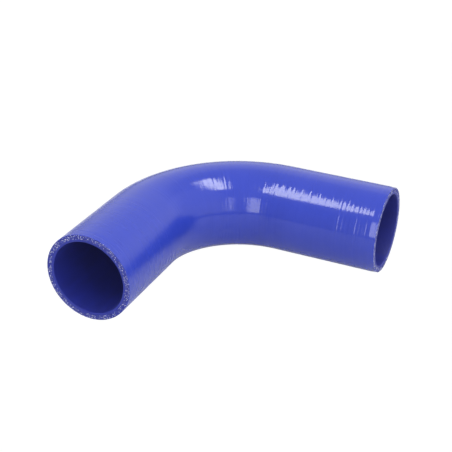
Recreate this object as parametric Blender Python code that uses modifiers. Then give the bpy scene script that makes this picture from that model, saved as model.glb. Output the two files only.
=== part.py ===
"""Silicone elbow hose for the air and coolant pipes of a car engine, lying on its side.

The hose is one moulded wall: its liner, fabric plies and cover are cured together. So it is
one solid, an even wall swept along two straight legs and the bend between them. It is open
at both ends, which are cut square, and each end slides over a pipe and is held by a clamp.

Lengths are in metres and +Z is up. The inlet leg points along -Y and the outlet leg along +X.
The origin is under the middle of the hose, on the surface that the hose lies on.
"""

from math import cos, radians, sin, tan

import bpy
from mathutils import Matrix, Vector

# Driving dimensions
BORE_DIAMETER = 0.051
WALL_THICKNESS = 0.005
BEND_RADIUS = 0.075
BEND_ANGLE = radians(90)
INLET_STRAIGHT_LENGTH = 0.072
OUTLET_STRAIGHT_LENGTH = 0.077
CUT_EDGE_RADIUS = 0.0004

# Fineness of the facets
FACETS_AROUND = 56
FACETS_ALONG_BEND = 30
FACETS_ON_CUT_EDGE = 2

# Derived sizes
OUTER_RADIUS = BORE_DIAMETER / 2 + WALL_THICKNESS
BEND_TANGENT_LENGTH = BEND_RADIUS * tan(BEND_ANGLE / 2)
INLET_LEG_LENGTH = BEND_TANGENT_LENGTH + INLET_STRAIGHT_LENGTH
OUTLET_LEG_LENGTH = BEND_TANGENT_LENGTH + OUTLET_STRAIGHT_LENGTH

# The inlet leg meets the line of the outlet leg at the corner of the centre line
CORNER = Vector((0, 0, 0))
OUTLET_DIRECTION = Vector((1, 0, 0))
INLET_DIRECTION = Vector((-cos(BEND_ANGLE), -sin(BEND_ANGLE), 0))

# Finish
COVER_BLUE = (0.045, 0.075, 0.56, 1)
COVER_ROUGHNESS = 0.32


def clear_scene():
    """Removes whatever the scene holds, so that the hose starts from nothing."""
    for old in list(bpy.data.objects):
        bpy.data.objects.remove(old, do_unlink=True)


def add_collection(name):
    """Adds a collection to the scene."""
    collection = bpy.data.collections.new(name)
    bpy.context.scene.collection.children.link(collection)
    return collection


def silicone_material():
    """Returns the smooth blue silicone of the cover."""
    material = bpy.data.materials.new("blue_silicone")
    material.use_nodes = True
    surface = material.node_tree.nodes["Principled BSDF"]
    surface.inputs["Base Color"].default_value = COVER_BLUE
    surface.inputs["Roughness"].default_value = COVER_ROUGHNESS
    surface.inputs["Metallic"].default_value = 0
    material.diffuse_color = COVER_BLUE
    return material


def set_point(point, position, left, right):
    """Places one point of the centre line with its two handles."""
    point.handle_left_type = "FREE"
    point.handle_right_type = "FREE"
    point.co = position
    point.handle_left = left
    point.handle_right = right


def centre_line_curve():
    """Returns the centre line as a curve, with the outside of the hose as its bevel.

    The curve has four points: the inlet's cut face, the two ends of the bend and the outlet's
    cut face. The legs keep vector handles, so they stay straight. In the bend, handles of 4/3
    tan(angle / 4) radii follow a circular arc.
    """
    curve = bpy.data.curves.new("centre_line", "CURVE")
    curve.dimensions = "3D"
    curve.resolution_u = FACETS_ALONG_BEND
    curve.bevel_depth = OUTER_RADIUS
    curve.bevel_resolution = (FACETS_AROUND - 4) // 2
    curve.use_fill_caps = False

    inlet_face = CORNER + INLET_DIRECTION * INLET_LEG_LENGTH
    bend_start = CORNER + INLET_DIRECTION * BEND_TANGENT_LENGTH
    bend_end = CORNER + OUTLET_DIRECTION * BEND_TANGENT_LENGTH
    outlet_face = CORNER + OUTLET_DIRECTION * OUTLET_LEG_LENGTH
    arc_handle = BEND_RADIUS * 4 / 3 * tan(BEND_ANGLE / 4)

    spline = curve.splines.new("BEZIER")
    spline.bezier_points.add(3)
    points = spline.bezier_points
    set_point(points[0], inlet_face, inlet_face, bend_start)
    set_point(points[1], bend_start, inlet_face, bend_start - INLET_DIRECTION * arc_handle)
    set_point(points[2], bend_end, bend_end - OUTLET_DIRECTION * arc_handle, outlet_face)
    set_point(points[3], outlet_face, bend_end, outlet_face)
    for start, end in ((points[0], points[1]), (points[2], points[3])):
        start.handle_right_type = "VECTOR"
        end.handle_left_type = "VECTOR"
    return curve


def outside_surface():
    """Returns the outside of the hose as an open mesh, one tube without ends."""
    curve = centre_line_curve()
    guide = bpy.data.objects.new("centre_line", curve)
    bpy.context.scene.collection.objects.link(guide)
    depsgraph = bpy.context.evaluated_depsgraph_get()
    mesh = bpy.data.meshes.new_from_object(guide.evaluated_get(depsgraph))
    mesh.name = "elbow_hose"
    bpy.data.objects.remove(guide, do_unlink=True)
    bpy.data.curves.remove(curve)
    return mesh


def add_wall(hose):
    """Thickens the outside surface inwards to the bore, with square-cut ends."""
    wall = hose.modifiers.new("wall", "SOLIDIFY")
    wall.thickness = WALL_THICKNESS
    wall.offset = -1
    wall.use_rim = True
    wall.use_quality_normals = True


def add_cut_edges(hose):
    """Breaks the four circular edges that the knife leaves at the ends."""
    edges = hose.modifiers.new("cut_edges", "BEVEL")
    edges.limit_method = "ANGLE"
    edges.angle_limit = radians(60)
    edges.width = CUT_EDGE_RADIUS
    edges.segments = FACETS_ON_CUT_EDGE
    edges.harden_normals = True


def lay_on_origin(hose):
    """Moves the mesh so that the origin is under the middle of the hose, at its lowest point."""
    bpy.context.view_layer.update()
    corners = [Vector(corner) for corner in hose.bound_box]
    low = Vector([min(corner[i] for corner in corners) for i in range(3)])
    high = Vector([max(corner[i] for corner in corners) for i in range(3)])
    under_middle = Vector(((low.x + high.x) / 2, (low.y + high.y) / 2, low.z))
    hose.data.transform(Matrix.Translation(-under_middle))


def build_elbow_hose():
    """Builds the hose as one object with its wall and its cut edges."""
    collection = add_collection("silicone_elbow_hose")
    hose = bpy.data.objects.new("elbow_hose", outside_surface())
    collection.objects.link(hose)
    hose.data.shade_smooth()
    hose.data.materials.clear()
    hose.data.materials.append(silicone_material())
    add_wall(hose)
    add_cut_edges(hose)
    lay_on_origin(hose)
    return hose


clear_scene()
build_elbow_hose()
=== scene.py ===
"""Looks of the silicone elbow hose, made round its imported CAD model.

The hose is one skin, swept along the same centre line as the CAD solid: a glossy blue cover
with the rings that its curing tape leaves, a plain bore, and two knife-cut ends. The cut ends
of the fabric's threads are a piece of their own on each end face. Lengths are in metres.
"""

from math import cos, pi, radians, sin, tau

import bpy
import numpy as np
from mathutils import Matrix, Vector


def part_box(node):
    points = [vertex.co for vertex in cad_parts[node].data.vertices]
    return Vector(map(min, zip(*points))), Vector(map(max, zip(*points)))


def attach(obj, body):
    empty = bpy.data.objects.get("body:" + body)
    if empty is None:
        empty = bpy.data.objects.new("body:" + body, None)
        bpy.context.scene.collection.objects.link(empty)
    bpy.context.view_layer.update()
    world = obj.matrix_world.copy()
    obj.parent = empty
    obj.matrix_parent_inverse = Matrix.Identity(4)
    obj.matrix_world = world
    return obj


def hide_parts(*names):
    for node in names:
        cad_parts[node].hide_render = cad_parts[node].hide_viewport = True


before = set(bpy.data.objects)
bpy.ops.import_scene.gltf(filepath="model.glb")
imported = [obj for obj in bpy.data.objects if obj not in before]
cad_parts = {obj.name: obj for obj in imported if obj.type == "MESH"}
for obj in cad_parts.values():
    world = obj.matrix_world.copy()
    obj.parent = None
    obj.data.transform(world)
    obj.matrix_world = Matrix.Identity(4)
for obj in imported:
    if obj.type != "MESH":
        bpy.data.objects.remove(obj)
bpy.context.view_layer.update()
node_low, node_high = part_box("elbow_hose")

# Sizes of the hose. The rest come from the CAD part's box.
WALL_THICKNESS = 0.005
BEND_RADIUS = 0.075
CUT_EDGE_RADIUS = 0.0004
FACE_RECESS = 0.00010

OUTER_RADIUS = (node_high.z - node_low.z) / 2
BORE_RADIUS = OUTER_RADIUS - WALL_THICKNESS
AXIS_HEIGHT = node_low.z + OUTER_RADIUS
CORNER = np.array([node_low.x + OUTER_RADIUS, node_high.y - OUTER_RADIUS, AXIS_HEIGHT])
ARC_CENTRE = CORNER + np.array([BEND_RADIUS, -BEND_RADIUS, 0])
INLET_STRAIGHT_LENGTH = ARC_CENTRE[1] - node_low.y
OUTLET_STRAIGHT_LENGTH = node_high.x - ARC_CENTRE[0]
BEND_LENGTH = BEND_RADIUS * pi / 2
HOSE_LENGTH = INLET_STRAIGHT_LENGTH + BEND_LENGTH + OUTLET_STRAIGHT_LENGTH

# Fineness of the skin
POINTS_AROUND = 64
COVER_STATIONS = 1380
BORE_STATIONS = 90
EDGE_STEPS = 4
FACE_STEPS = 14

# Relief that the curing tape leaves on the cover. Slopes are rises over lengths.
TAPE_SEED = 11
TAPE_PATTERNS = 3
TAPE_MARGIN = 0.012
RELIEF_SPACING = 0.00005
RING_TILT = 0.0006
WAVE_LENGTHS = (0.014, 0.0045)
WAVE_SLOPES = (0.008, 0.006)
HATCH_LENGTH = 0.0010
HATCH_SLOPES = (0.028, 0.022, 0.018, 0.014)
STEP_PITCH = 0.0019
STEP_PITCH_SPREAD = (0.3, 1.7)
STEP_SLOPE = 0.050
STEP_RISE_LIMIT = 0.16
STEP_FALL_LIMIT = 0.05
STEP_WIDTHS = (0.00022, 0.00045)
STEP_SHARES = (0.6, 0.6, 0.7, 1.0)
STEP_RISING_SHARES = (0.5, 0.5, 0.5, 0.85)
RELIEF_SETTLE = 0.0015

# Values in fours change along the hose: they are for the inlet's end, the bend's start, and
# these lengths before and after the bend's end
BLEND_BEFORE = 0.015
BLEND_AFTER = 0.010

# Creases across the tape: the length along the hose and the slope of each
CREASES = ((0.034, 0.17), (0.061, 0.17), (0.2164, 0.11), (0.2389, 0.17), (0.2513, 0.18))
CREASE_SPREAD = (0.85, 1.15)
CREASE_WIDTH = 0.00030

# The outlet's last stretch narrows a little
OUTLET_TAPER_LENGTH = 0.0048
OUTLET_TAPER = 0.00034

# Rows of threads of the fabric plies, seen end-on in the cut faces
THREAD_SEED = 5
PLY_COUNT = 6
LINER_SHARE = 0.30
PLY_INNER_MARGIN = 0.0003
PLY_OUTER_MARGIN = 0.0002
THREAD_SPACING = 0.00062
THREAD_GAP_SHARE = 0.22
THREAD_SCATTER = 0.00022
THREAD_SCATTER_AROUND = 0.18
STRAY_INWARDS = 0.0002
STRAY_OUTWARDS = 0.0001

# Shares, sizes, shades and shape of the thread ends
BRIGHT_SHARE = 0.22
BRIGHT_SIZES = (0.00016, 0.00026)
BRIGHT_SHADES = (0.6, 1.0)
DARK_SIZES = (0.00012, 0.00022)
DARK_SHADES = (0.0, 0.15)
THREAD_FLATNESS = (0.7, 1.0)
THREAD_HEIGHTS = (0.00001, FACE_RECESS * 0.9)
THREAD_SIDES = 8
THREAD_SHOULDER = 0.35
THREAD_TOP_SHARE = 0.75
THREAD_ROOT = 0.00012

# How far inside and outside its edge the liner's colour blends into the plies'
LINER_BLEND_INSIDE = 0.0001
LINER_BLEND_OUTSIDE = 0.0002

# Surfaces of the skin, in the order of its materials
COVER, CUT_FACE, BORE = range(3)


# Shape of the hose

def centre_line(along):
    """Returns points of the centre line, and the level direction away from the bend's centre."""
    turn = np.clip((along - INLET_STRAIGHT_LENGTH) / BEND_RADIUS, 0, pi / 2)
    level = np.zeros_like(turn)
    outward = np.stack([-np.cos(turn), np.sin(turn), level], -1)
    forward = np.stack([np.sin(turn), np.cos(turn), level], -1)
    before_bend = np.minimum(along - INLET_STRAIGHT_LENGTH, 0)
    after_bend = np.maximum(along - INLET_STRAIGHT_LENGTH - BEND_LENGTH, 0)
    centre = ARC_CENTRE + outward * BEND_RADIUS + forward * (before_bend + after_bend)[..., None]
    return centre, outward


def hose_point(along, radius, angle):
    """Returns the place of a point given by its length along the hose, radius and angle."""
    centre, outward = centre_line(along)
    up = np.array([0.0, 0.0, 1.0])
    sideways = outward * (radius * np.cos(angle))[..., None]
    upwards = up * (radius * np.sin(angle))[..., None]
    return centre + sideways + upwards


def hose_coordinates(along, radius, angle):
    """Returns the same point as if the hose were straight, for the textures."""
    return np.stack([along, radius * np.cos(angle), radius * np.sin(angle)], -1)


def random_wave(rng, spots, length):
    """Returns smooth random heights at even spots, with a steepness of about 1 in 1."""
    step = spots[1] - spots[0]
    reach = int(length / step) + 1
    window = np.exp(-0.5 * (np.arange(-reach, reach + 1) * step / (length / 4)) ** 2)
    wave = np.convolve(rng.normal(size=len(spots)), window, "same")
    return wave / np.gradient(wave, step).std()


def by_leg(place, values):
    """Returns a value that changes along the hose, from the inlet leg to the outlet leg."""
    bend_end = INLET_STRAIGHT_LENGTH + BEND_LENGTH
    places = (0, INLET_STRAIGHT_LENGTH, bend_end - BLEND_BEFORE, bend_end + BLEND_AFTER)
    return np.interp(place, places, values)


def tape_pattern(rng, spots):
    """Returns one run of the tape's relief: waves, the steps of its edges and a few creases.

    The slopes add up to the height, and its slow drift is taken off, so that the cover stays
    level over longer stretches.
    """
    step = spots[1] - spots[0]
    slope = np.zeros_like(spots)
    for length, steepness in zip(WAVE_LENGTHS, WAVE_SLOPES):
        slope += steepness * np.gradient(random_wave(rng, spots, length), step)
    slope += by_leg(spots, HATCH_SLOPES) * np.gradient(random_wave(rng, spots, HATCH_LENGTH), step)
    place = spots[0]
    while place < spots[-1]:
        steep = rng.exponential(STEP_SLOPE) * by_leg(place, STEP_SHARES)
        rising = rng.uniform() < by_leg(place, STEP_RISING_SHARES)
        steep = min(steep, STEP_RISE_LIMIT) if rising else -min(steep, STEP_FALL_LIMIT)
        width = rng.uniform(*STEP_WIDTHS)
        slope += steep * np.exp(-np.abs(spots - place) / width)
        place += STEP_PITCH * rng.uniform(*STEP_PITCH_SPREAD)
    for place, fall in CREASES:
        fall *= rng.uniform(*CREASE_SPREAD)
        slope -= fall * np.exp(-0.5 * ((spots - place) / CREASE_WIDTH * 2) ** 2)
    reach = np.arange(-4 * RELIEF_SETTLE, 4 * RELIEF_SETTLE, step)
    settling = np.exp(-0.5 * (reach / RELIEF_SETTLE) ** 2)
    height = np.cumsum(slope) * step
    return height - np.convolve(height, settling / settling.sum(), "same")


def tape_relief(along, angle):
    """Returns the height of the tape's relief, whose pattern changes slowly round the hose."""
    rng = np.random.default_rng(TAPE_SEED)
    spots = np.arange(-TAPE_MARGIN, HOSE_LENGTH + TAPE_MARGIN, RELIEF_SPACING)
    height = np.zeros_like(along)
    for i in range(TAPE_PATTERNS):
        pattern = tape_pattern(rng, spots)
        share = (1 + np.cos(angle - tau * i / TAPE_PATTERNS)) / 2
        ring = along + RING_TILT * np.cos(angle - rng.uniform(0, tau))
        height += share * np.interp(ring, spots, pattern)
    return height


def skin_profile():
    """Returns the closed outline that is swept round the centre line.

    Each station has a length along the hose, a radius, the share of the tape's relief that it
    takes, and its surface.
    """
    edge = CUT_EDGE_RADIUS
    quarter = np.linspace(0, pi / 2, EDGE_STEPS + 1)[1:]
    face_radii = np.linspace(OUTER_RADIUS - edge, BORE_RADIUS + edge, FACE_STEPS + 1)[1:]
    start, end = FACE_RECESS, HOSE_LENGTH - FACE_RECESS
    cover = np.linspace(start + edge, end - edge, COVER_STATIONS)
    bore = np.linspace(end - edge, start + edge, BORE_STATIONS)

    along = [cover, end - edge + edge * np.sin(quarter), np.full(FACE_STEPS, end)]
    radius = [np.full(COVER_STATIONS, OUTER_RADIUS)]
    radius += [OUTER_RADIUS - edge + edge * np.cos(quarter), face_radii]
    relief = [np.ones(COVER_STATIONS), np.cos(quarter), np.zeros(FACE_STEPS)]
    surface = [np.full(COVER_STATIONS + EDGE_STEPS, COVER), np.full(FACE_STEPS, CUT_FACE)]

    along += [end - edge + edge * np.cos(quarter[:-1]), bore]
    radius += [BORE_RADIUS + edge - edge * np.sin(quarter[:-1]), np.full(BORE_STATIONS, BORE_RADIUS)]
    relief += [np.zeros(EDGE_STEPS - 1), np.zeros(BORE_STATIONS)]
    surface += [np.full(EDGE_STEPS - 1, CUT_FACE), np.full(BORE_STATIONS, BORE)]

    along += [start + edge - edge * np.sin(quarter), np.full(FACE_STEPS, start)]
    radius += [BORE_RADIUS + edge - edge * np.cos(quarter), face_radii[::-1]]
    relief += [np.zeros(EDGE_STEPS), np.zeros(FACE_STEPS)]
    surface += [np.full(EDGE_STEPS + FACE_STEPS, CUT_FACE)]

    along += [start + edge - edge * np.cos(quarter[:-1])]
    radius += [OUTER_RADIUS - edge + edge * np.sin(quarter[:-1])]
    relief += [np.sin(quarter[:-1])]
    surface += [np.full(EDGE_STEPS - 1, COVER)]
    return [np.concatenate(part) for part in (along, radius, relief, surface)]


def grid_mesh(name, points, surface):
    """Returns a mesh of quads over a grid that closes on itself both ways."""
    stations, around = points.shape[:2]
    index = np.arange(stations * around).reshape(stations, around)
    next_station = np.roll(index, -1, 0)
    quads = np.stack([index, np.roll(index, -1, 1), np.roll(next_station, -1, 1), next_station], -1)
    quads = quads.reshape(-1, 4)
    mesh = bpy.data.meshes.new(name)
    mesh.vertices.add(stations * around)
    mesh.vertices.foreach_set("co", points.reshape(-1))
    mesh.loops.add(quads.size)
    mesh.loops.foreach_set("vertex_index", quads.reshape(-1))
    mesh.polygons.add(len(quads))
    mesh.polygons.foreach_set("loop_start", np.arange(0, quads.size, 4))
    mesh.polygons.foreach_set("material_index", np.repeat(surface, around))
    mesh.update(calc_edges=True)
    mesh.validate()
    mesh.shade_smooth()
    return mesh


def add_coordinates(mesh, coordinates):
    """Stores the straight-hose coordinates of a mesh's points for its textures."""
    attribute = mesh.attributes.new("hose_coordinates", "FLOAT_VECTOR", "POINT")
    attribute.data.foreach_set("vector", coordinates.reshape(-1).astype(np.float32))


def build_skin():
    """Builds the hose's whole surface as one closed mesh."""
    along, radius, relief_share, surface = skin_profile()
    angle = np.arange(POINTS_AROUND) * tau / POINTS_AROUND
    along_grid, angle_grid = np.meshgrid(along, angle, indexing="ij")
    radius_grid = np.repeat(radius[:, None], POINTS_AROUND, 1)
    height = tape_relief(along_grid, angle_grid)
    height -= height[surface == COVER].max()
    tapered = np.clip(1 - (HOSE_LENGTH - along_grid) / OUTLET_TAPER_LENGTH, 0, 1)
    height -= OUTLET_TAPER * tapered
    radius_grid += height * relief_share[:, None]
    mesh = grid_mesh("elbow_hose_skin", hose_point(along_grid, radius_grid, angle_grid), surface)
    add_coordinates(mesh, hose_coordinates(along_grid, radius_grid, angle_grid))
    skin = bpy.data.objects.new("elbow_hose_skin", mesh)
    bpy.context.scene.collection.objects.link(skin)
    for material in (cover_material(), cut_face_material(), bore_material()):
        mesh.materials.append(material)
    return skin


# Materials

class Nodes:
    """Adds nodes to a material and links them, so that a material reads as a short list."""

    def __init__(self, name):
        self.material = bpy.data.materials.new(name)
        self.material.use_nodes = True
        self.tree = self.material.node_tree
        self.surface = self.tree.nodes["Principled BSDF"]

    def add(self, kind, inputs=None, **settings):
        """Returns a new node with its settings and its inputs, by name or number."""
        node = self.tree.nodes.new(kind)
        for key, value in settings.items():
            setattr(node, key, value)
        for key, value in (inputs or {}).items():
            self.put(node.inputs[key], value)
        return node

    def put(self, socket, value):
        """Links an output to the socket, or sets the socket's own value."""
        if isinstance(value, bpy.types.NodeSocket):
            self.tree.links.new(value, socket)
        else:
            socket.default_value = value

    def set(self, **values):
        """Sets inputs of the material's shader, with _ for the spaces in their names."""
        for key, value in values.items():
            self.put(self.surface.inputs[key.replace("_", " ")], value)

    def coordinates(self, scale):
        """Returns the straight-hose coordinates, each axis scaled."""
        place = self.add("ShaderNodeAttribute", attribute_name="hose_coordinates")
        inputs = {0: place.outputs["Vector"], 1: scale}
        return self.add("ShaderNodeVectorMath", operation="MULTIPLY", inputs=inputs).outputs[0]

    def length(self, vector):
        """Returns the length of a vector."""
        return self.add("ShaderNodeVectorMath", operation="LENGTH", inputs={0: vector}).outputs["Value"]

    def noise(self, scale, detail=2.0, roughness=0.5):
        """Returns noise of about 0 to 1, with the given number of cells a metre on each axis."""
        where = self.coordinates(scale)
        inputs = {"Vector": where, "Scale": 1.0, "Detail": detail, "Roughness": roughness}
        return self.add("ShaderNodeTexNoise", inputs=inputs).outputs["Fac"]

    def ranged(self, value, low, high, to_low=0.0, to_high=1.0):
        """Returns the value mapped from one range to another and held inside it."""
        inputs = {"Value": value, "From Min": low, "From Max": high, "To Min": to_low, "To Max": to_high}
        return self.add("ShaderNodeMapRange", inputs=inputs).outputs["Result"]

    def mixed(self, share, first, second):
        """Returns a blend of two colours."""
        node = self.add("ShaderNodeMix", data_type="RGBA")
        self.put(node.inputs["Factor"], share)
        self.put(node.inputs["A"], first)
        self.put(node.inputs["B"], second)
        return node.outputs["Result"]

    def math(self, operation, first, second):
        """Returns the result of one sum on two numbers."""
        return self.add("ShaderNodeMath", operation=operation, inputs={0: first, 1: second}).outputs[0]

    def bumped(self, height, distance, below=None):
        """Returns a normal that the height moves by up to the distance, in metres."""
        inputs = {"Height": height, "Distance": distance, "Strength": 1.0}
        if below:
            inputs["Normal"] = below
        return self.add("ShaderNodeBump", inputs=inputs).outputs["Normal"]


# Colours
COVER_BLUE = (0.017, 0.034, 0.315, 1)
COVER_BLUE_DEEP = (0.015, 0.031, 0.295, 1)
# The bore's blues are darker than the liner's blue in the cut faces: partly the liner's own colour,
# partly painted shade inside the bore
BORE_BLUE = (0.009, 0.014, 0.17, 1)
BORE_BLUE_LIGHT = (0.010, 0.016, 0.20, 1)
LINER_BLUE = (0.015, 0.023, 0.22, 1)
PLY_BLUE = (0.018, 0.029, 0.29, 1)
PIT_BLUE = (0.005, 0.008, 0.14, 1)
THREAD_DARK = (0.012, 0.022, 0.21, 1)
THREAD_LIGHT = (0.90, 0.92, 0.96, 1)
WHITE = (1, 1, 1, 1)

# Gloss
COVER_ROUGHNESS = (0.09, 0.14)
COVER_IOR = 1.5
CUT_FACE_ROUGHNESS = 0.62
CUT_FACE_IOR = 1.38
BORE_ROUGHNESS = 0.5
BORE_IOR = 1.42
# The bore's faint white glow is painted light: it stands in for stray light that lifts the bore's shade
BORE_PAINTED_GLOW = 0.004
THREAD_ROUGHNESS = 0.7
THREAD_IOR = 1.5

# The cover of the inlet leg is a little more matt, up to these lengths along the hose
MATT_START = 0.060
MATT_END = 0.110
MATT_ROUGHNESS = 0.15

# Cells a metre of each texture's noise: along the hose, and both ways across it
MOTTLE_CELLS = (40, 25, 25)
STREAK_CELLS = (420, 22, 22)
GLOSS_CELLS = (250, 30, 30)
LINE_CELLS = (950, 35, 35)
GRAIN_CELLS = (1500, 1500, 1500)
SPECKLE_CELLS = (1100, 1100, 1100)
CUT_CELLS = (2200, 2200, 2200)
BORE_STREAK_CELLS = (35, 160, 160)
FILM_CELLS = (60, 500, 500)
FIBRE_CELLS = (6000, 6000, 6000)

# Parts of the noise's range that the whole of a colour or gloss range is spread over
TONE_RANGE = (0.35, 0.65)
GLOSS_RANGE = (0.3, 0.7)
SPECKLE_RANGE = (0.40, 0.60)
MOTTLE_SHARE = 0.6

# Depths of the fine grain
LINE_DEPTH = 0.000006
GRAIN_DEPTH = 0.0000012
CUT_DEPTH = 0.00004
FILM_DEPTH = 0.00001
FIBRE_DEPTH = 0.00002


def cover_material():
    """Returns the glossy blue cover with the fine lines of the tape's weave."""
    nodes = Nodes("silicone_cover")
    mottle = nodes.math("MULTIPLY", nodes.noise(MOTTLE_CELLS, detail=3.0), MOTTLE_SHARE)
    streaks = nodes.math("MULTIPLY", nodes.noise(STREAK_CELLS), 1 - MOTTLE_SHARE)
    tone = nodes.ranged(nodes.math("ADD", mottle, streaks), *TONE_RANGE)
    colour = nodes.mixed(tone, COVER_BLUE_DEEP, COVER_BLUE)
    along = nodes.length(nodes.coordinates((1, 0, 0)))
    matt = nodes.ranged(along, MATT_END, MATT_START, 0.0, MATT_ROUGHNESS)
    gloss = nodes.ranged(nodes.noise(GLOSS_CELLS), *GLOSS_RANGE, *COVER_ROUGHNESS)
    roughness = nodes.math("ADD", gloss, matt)
    lines = nodes.bumped(nodes.noise(LINE_CELLS), LINE_DEPTH)
    grain = nodes.bumped(nodes.noise(GRAIN_CELLS, detail=1.0), GRAIN_DEPTH, below=lines)
    nodes.set(Base_Color=colour, Roughness=roughness, IOR=COVER_IOR, Normal=grain)
    return nodes.material


def cut_face_material():
    """Returns the knife-cut end: a plain liner inside, and the speckled edge of the plies."""
    nodes = Nodes("silicone_cut_face")
    radius = nodes.length(nodes.coordinates((0, 1, 1)))
    liner_edge = BORE_RADIUS + LINER_SHARE * WALL_THICKNESS
    in_plies = nodes.ranged(radius, liner_edge - LINER_BLEND_INSIDE, liner_edge + LINER_BLEND_OUTSIDE)
    speckle = nodes.ranged(nodes.noise(SPECKLE_CELLS, roughness=0.6), *SPECKLE_RANGE)
    plies = nodes.mixed(speckle, PIT_BLUE, PLY_BLUE)
    colour = nodes.mixed(in_plies, LINER_BLUE, plies)
    rough = nodes.bumped(nodes.noise(CUT_CELLS), CUT_DEPTH)
    nodes.set(Base_Color=colour, Roughness=CUT_FACE_ROUGHNESS, IOR=CUT_FACE_IOR, Normal=rough)
    return nodes.material


def bore_material():
    """Returns the smooth liner inside the hose, in darker blues than the liner in the cut faces, with a
    faint white glow that is painted stray light.
    """
    nodes = Nodes("silicone_bore")
    streaks = nodes.ranged(nodes.noise(BORE_STREAK_CELLS, detail=3.0), *TONE_RANGE)
    colour = nodes.mixed(streaks, BORE_BLUE, BORE_BLUE_LIGHT)
    film = nodes.bumped(nodes.noise(FILM_CELLS), FILM_DEPTH)
    nodes.set(Base_Color=colour, Roughness=BORE_ROUGHNESS, IOR=BORE_IOR, Normal=film)
    # Painted light: a faint white glow over the bore in place of stray light
    nodes.set(Emission_Color=WHITE, Emission_Strength=BORE_PAINTED_GLOW)
    return nodes.material


def thread_material():
    """Returns the matt thread ends, each with its own shade."""
    nodes = Nodes("reinforcing_thread")
    shade = nodes.add("ShaderNodeAttribute", attribute_name="thread_shade").outputs["Fac"]
    colour = nodes.mixed(shade, THREAD_DARK, THREAD_LIGHT)
    fibres = nodes.bumped(nodes.noise(FIBRE_CELLS, detail=1.0), FIBRE_DEPTH)
    nodes.set(Base_Color=colour, Roughness=THREAD_ROUGHNESS, IOR=THREAD_IOR, Normal=fibres)
    return nodes.material


# Thread ends

def thread_rows(rng):
    """Returns the radius, angle, half sizes, height and shade of each thread end of one face."""
    inner = BORE_RADIUS + LINER_SHARE * WALL_THICKNESS + PLY_INNER_MARGIN
    outer = OUTER_RADIUS - CUT_EDGE_RADIUS - PLY_OUTER_MARGIN
    rows = []
    for ply_radius in np.linspace(inner, outer, PLY_COUNT):
        count = int(tau * ply_radius / THREAD_SPACING)
        offset = rng.uniform(0, 1)
        for i in range(count):
            if rng.uniform() < THREAD_GAP_SHARE:
                continue
            radius = ply_radius + rng.normal() * THREAD_SCATTER
            radius = min(max(radius, inner - STRAY_INWARDS), outer + STRAY_OUTWARDS)
            angle = (i + offset + rng.normal() * THREAD_SCATTER_AROUND) * tau / count
            bright = rng.uniform() < BRIGHT_SHARE
            half_around = rng.uniform(*(BRIGHT_SIZES if bright else DARK_SIZES))
            half_across = half_around * rng.uniform(*THREAD_FLATNESS)
            height = rng.uniform(*THREAD_HEIGHTS)
            shade = rng.uniform(*(BRIGHT_SHADES if bright else DARK_SHADES))
            rows.append((radius, angle, half_around, half_across, height, shade))
    return np.array(rows)


def build_thread_ends(name, face_along, outward, material, seed):
    """Builds the thread ends of one cut face as small flat-topped domes.

    outward is +1 where the hose ends at its full length, and -1 where it starts. Each dome has
    three rings: a root below the face, a shoulder and a narrower top.
    """
    rows = thread_rows(np.random.default_rng(seed))
    around = np.arange(THREAD_SIDES) * tau / THREAD_SIDES
    vertices, faces, shades = [], [], []
    for radius, angle, half_around, half_across, height, shade in rows:
        first = len(vertices)
        rings = ((1.0, -THREAD_ROOT), (1.0, THREAD_SHOULDER * height), (THREAD_TOP_SHARE, height))
        for share, rise in rings:
            y = radius + share * half_across * np.sin(around)
            x = share * half_around * np.cos(around)
            point_radius = np.hypot(x, y)
            point_angle = angle + np.arctan2(x, y)
            length = np.full(THREAD_SIDES, face_along + outward * rise)
            vertices.extend(np.stack([length, point_radius, point_angle], -1))
        for ring in range(len(rings) - 1):
            low = first + ring * THREAD_SIDES
            for i in range(THREAD_SIDES):
                j = (i + 1) % THREAD_SIDES
                faces.append((low + i, low + j, low + THREAD_SIDES + j, low + THREAD_SIDES + i))
        top = first + (len(rings) - 1) * THREAD_SIDES
        faces.append(tuple(range(top, top + THREAD_SIDES)))
        faces.append(tuple(range(first + THREAD_SIDES - 1, first - 1, -1)))
        shades.extend([shade] * (len(rings) * THREAD_SIDES))
    along, radius, angle = np.array(vertices).T
    if outward > 0:
        faces = [face[::-1] for face in faces]
    mesh = bpy.data.meshes.new(name)
    mesh.from_pydata(hose_point(along, radius, angle).tolist(), [], faces)
    mesh.shade_smooth()
    add_coordinates(mesh, hose_coordinates(along, radius, angle))
    attribute = mesh.attributes.new("thread_shade", "FLOAT", "POINT")
    attribute.data.foreach_set("value", np.array(shades, np.float32))
    mesh.materials.append(material)
    threads = bpy.data.objects.new(name, mesh)
    bpy.context.scene.collection.objects.link(threads)
    return threads


# Studio

# Softboxes overhead. Their corners are shares of their height above the hose.
SOFTBOX_HEIGHT = 1.2
SOFTBOX_COLOUR = (1.0, 1.0, 0.93, 1)
LEFT_RADIANCE = 9.4
LEFT_SOFTBOX = (
    (-0.16, -0.59), (-0.16, -0.42), (-0.20, -0.30), (-0.30, -0.11),
    (-0.37, 0.04), (-0.60, 0.04), (-0.45, -0.68),
)
RIGHT_RADIANCE = 10.4
RIGHT_SOFTBOX = (
    (0.06, 0.43), (0.16, 0.47), (0.36, 0.25), (0.55, -0.01),
    (0.53, -0.15), (0.40, -0.25), (0.23, 0.02),
)

# Panels and walls that the cover mirrors: from which to which direction and height each
# reaches, in degrees as seen from the hose, its distance and its radiance
PANELS = {
    "left_panel": ((-3, 17), (3, 43), 0.54, 4.0),
    "right_panel": ((43, 49), (7, 43), 0.54, 3.2),
    "right_wall": ((60, 150), (2, 60), 1.2, 0.3),
    "back_wall": ((140, 225), (12, 48), 1.2, 0.27),
}

# Panels of the same kind that light the hose but aren't mirrored
FILLS = {
    "key_fill": ((-30, 40), (45, 65), 1.2, 1.6),
    "right_fill": ((52, 98), (8, 35), 1.2, 2.4),
}

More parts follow.
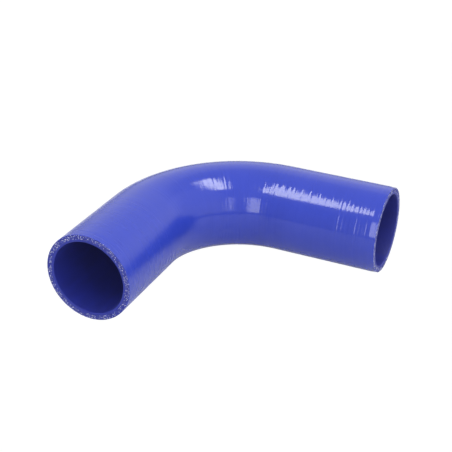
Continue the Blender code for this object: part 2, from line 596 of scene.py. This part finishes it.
# The tent's front, a little darker than the room. Its corners are directions and heights in
# degrees as seen from the hose.
FRONT_DISTANCE = 1.1
FRONT_RADIANCE = 0.66
FRONT_WALL = ((-75, -1), (28, -1), (28, 33), (-75, 33))

# The room: the shade of each surface and how much it glows by itself
ROOM_RADIUS = 9.0
ROOM_RADIANCE = 0.85
FLOOR_SHADE = 0.08
FLOOR_GLOW = 1.0
TABLE_RADIUS = 0.6
TABLE_SHADE = 0.75
TABLE_GLOW = 0.18
GROUND_SHADE = 0.2
GROUND_DROP = 0.002
DISC_SIDES = 96
STAGE_ROUGHNESS = 0.9


def plain_stage(name, mesh, shade, glow, glow_colour=WHITE):
    """Adds part of the studio in one plain shade of grey that also glows by itself."""
    material = bpy.data.materials.new(name)
    material.use_nodes = True
    surface = material.node_tree.nodes["Principled BSDF"]
    surface.inputs["Base Color"].default_value = (shade, shade, shade, 1)
    surface.inputs["Roughness"].default_value = STAGE_ROUGHNESS
    surface.inputs["Specular IOR Level"].default_value = 0.0
    surface.inputs["Emission Color"].default_value = glow_colour
    surface.inputs["Emission Strength"].default_value = glow
    mesh.materials.append(material)
    stage = bpy.data.objects.new(name, mesh)
    bpy.context.scene.collection.objects.link(stage)
    return stage


def polygon_mesh(name, points):
    """Returns a flat mesh of one face."""
    mesh = bpy.data.meshes.new(name)
    mesh.from_pydata(points, [], [tuple(range(len(points)))])
    return mesh


def disc_mesh(name, radius, height):
    """Returns a flat disc."""
    turns = [tau * i / DISC_SIDES for i in range(DISC_SIDES)]
    return polygon_mesh(name, [(radius * cos(t), radius * sin(t), height) for t in turns])


def area_light(name, centre, size_x, size_y, radiance, facing):
    """Adds a soft rectangular light of even radiance that faces a point, unseen by the camera."""
    data = bpy.data.lights.new(name, "AREA")
    data.shape = "RECTANGLE"
    data.size = size_x
    data.size_y = size_y
    data.energy = radiance * pi * size_x * size_y
    light = bpy.data.objects.new(name, data)
    bpy.context.scene.collection.objects.link(light)
    back = (Vector(centre) - Vector(facing)).normalized()
    right = Vector((0, 0, 1)).cross(back).normalized()
    turn = Matrix((right, back.cross(right), back)).transposed()
    light.matrix_world = Matrix.Translation(centre) @ turn.to_4x4()
    light.visible_camera = False
    return light


def softbox(name, corners, radiance):
    """Adds a level softbox overhead, unseen by the camera."""
    height = AXIS_HEIGHT + SOFTBOX_HEIGHT
    points = [(x * SOFTBOX_HEIGHT, y * SOFTBOX_HEIGHT, height) for x, y in corners]
    box = plain_stage(name, polygon_mesh(name, points), 0, radiance, SOFTBOX_COLOUR)
    box.visible_camera = False


def panel(name, azimuths, elevations, distance, radiance):
    """Adds an upright panel that fills a range of directions, in degrees, seen from the hose."""
    middle = radians(sum(azimuths) / 2)
    half_turn = radians(azimuths[1] - azimuths[0]) / 2
    low, high = (distance * np.tan(radians(e)) for e in elevations)
    across = np.array([sin(middle), -cos(middle), 0]) * distance
    centre = Vector((across[0], across[1], AXIS_HEIGHT + (low + high) / 2))
    facing = Vector((0, 0, centre.z))
    return area_light(name, centre, 2 * distance * np.tan(half_turn), high - low, radiance, facing)


def add_lights():
    """Adds the softboxes overhead, the panels and walls round the hose, and the fill light."""
    softbox("left_softbox", LEFT_SOFTBOX, LEFT_RADIANCE)
    softbox("right_softbox", RIGHT_SOFTBOX, RIGHT_RADIANCE)
    for name, values in PANELS.items():
        panel(name, *values)
    for name, values in FILLS.items():
        panel(name, *values).visible_glossy = False


def add_front_wall():
    """Adds the tent's front, which the cover mirrors at its side and the camera doesn't see."""
    points = []
    for azimuth, elevation in FRONT_WALL:
        turn = radians(azimuth)
        rise = FRONT_DISTANCE * np.tan(radians(elevation))
        points.append((sin(turn) * FRONT_DISTANCE, -cos(turn) * FRONT_DISTANCE, AXIS_HEIGHT + rise))
    wall = plain_stage("front_wall", polygon_mesh("front_wall", points), 0, FRONT_RADIANCE)
    wall.visible_camera = False


def add_floor():
    """Adds the pale floor.

    The camera sees a disc that glows evenly, with only a faint shadow. What lights the hose
    from below, and what its cover mirrors, is a white table top with darker ground round it.
    """
    shown = plain_stage("floor", disc_mesh("floor", ROOM_RADIUS, node_low.z), FLOOR_SHADE, FLOOR_GLOW)
    shown.visible_diffuse = False
    shown.visible_glossy = False
    table = plain_stage("table", disc_mesh("table", TABLE_RADIUS, node_low.z), TABLE_SHADE, TABLE_GLOW)
    table.visible_camera = False
    ground_height = node_low.z - GROUND_DROP
    ground = plain_stage("ground", disc_mesh("ground", ROOM_RADIUS, ground_height), GROUND_SHADE, 0)
    ground.visible_camera = False


def add_backdrop():
    """Adds a white dome that only the camera sees, so that the room stays plain from any side."""
    bpy.ops.mesh.primitive_uv_sphere_add(segments=48, ring_count=24, radius=ROOM_RADIUS)
    dome = bpy.context.object
    mesh = dome.data
    bpy.data.objects.remove(dome)
    mesh.name = "backdrop"
    backdrop = plain_stage("backdrop", mesh, 0, 1)
    backdrop.visible_diffuse = False
    backdrop.visible_glossy = False
    backdrop.visible_transmission = False
    backdrop.visible_shadow = False


def set_room():
    """Sets the pale room that the cover mirrors where nothing else is."""
    world = bpy.data.worlds.new("room")
    world.use_nodes = True
    background = world.node_tree.nodes["Background"]
    background.inputs["Color"].default_value = WHITE
    background.inputs["Strength"].default_value = ROOM_RADIANCE
    bpy.context.scene.world = world
    bpy.context.scene.view_settings.view_transform = "Standard"


# Camera

CAMERA_AZIMUTH = radians(24.15)
CAMERA_ELEVATION = radians(28.14)
CAMERA_ROLL = radians(1.083)
CAMERA_DISTANCE = 0.7066
CAMERA_LENS = 80.75
CAMERA_SENSOR = 36.0
CAMERA_CLIP = (0.01, 50)
TARGET_FROM_CORNER = Vector((0.04904, -0.04411, -0.00012))


def add_camera():
    """Adds the camera where the photograph was taken from."""
    data = bpy.data.cameras.new("camera")
    data.sensor_width = CAMERA_SENSOR
    data.lens = CAMERA_LENS
    data.clip_start, data.clip_end = CAMERA_CLIP
    level = cos(CAMERA_ELEVATION)
    back = Vector((sin(CAMERA_AZIMUTH) * level, -cos(CAMERA_AZIMUTH) * level, sin(CAMERA_ELEVATION)))
    flat_right = Vector((cos(CAMERA_AZIMUTH), sin(CAMERA_AZIMUTH), 0))
    flat_up = back.cross(flat_right)
    right = flat_right * cos(CAMERA_ROLL) + flat_up * sin(CAMERA_ROLL)
    target = Vector(CORNER) + TARGET_FROM_CORNER
    camera = bpy.data.objects.new("camera", data)
    turn = Matrix((right, back.cross(right), back)).transposed()
    camera.matrix_world = Matrix.Translation(target + back * CAMERA_DISTANCE) @ turn.to_4x4()
    bpy.context.scene.collection.objects.link(camera)
    bpy.context.scene.camera = camera


# The scene

skin = build_skin()
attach(skin, "root")
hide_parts("elbow_hose")

thread = thread_material()
for piece_name, face_along, outward, seed in (
    ("inlet_thread_ends", FACE_RECESS, -1, THREAD_SEED),
    ("outlet_thread_ends", HOSE_LENGTH - FACE_RECESS, 1, THREAD_SEED + 1),
):
    piece = build_thread_ends(piece_name, face_along, outward, thread, seed)
    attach(piece, "root")

add_lights()
add_front_wall()
add_floor()
add_backdrop()
set_room()
add_camera()
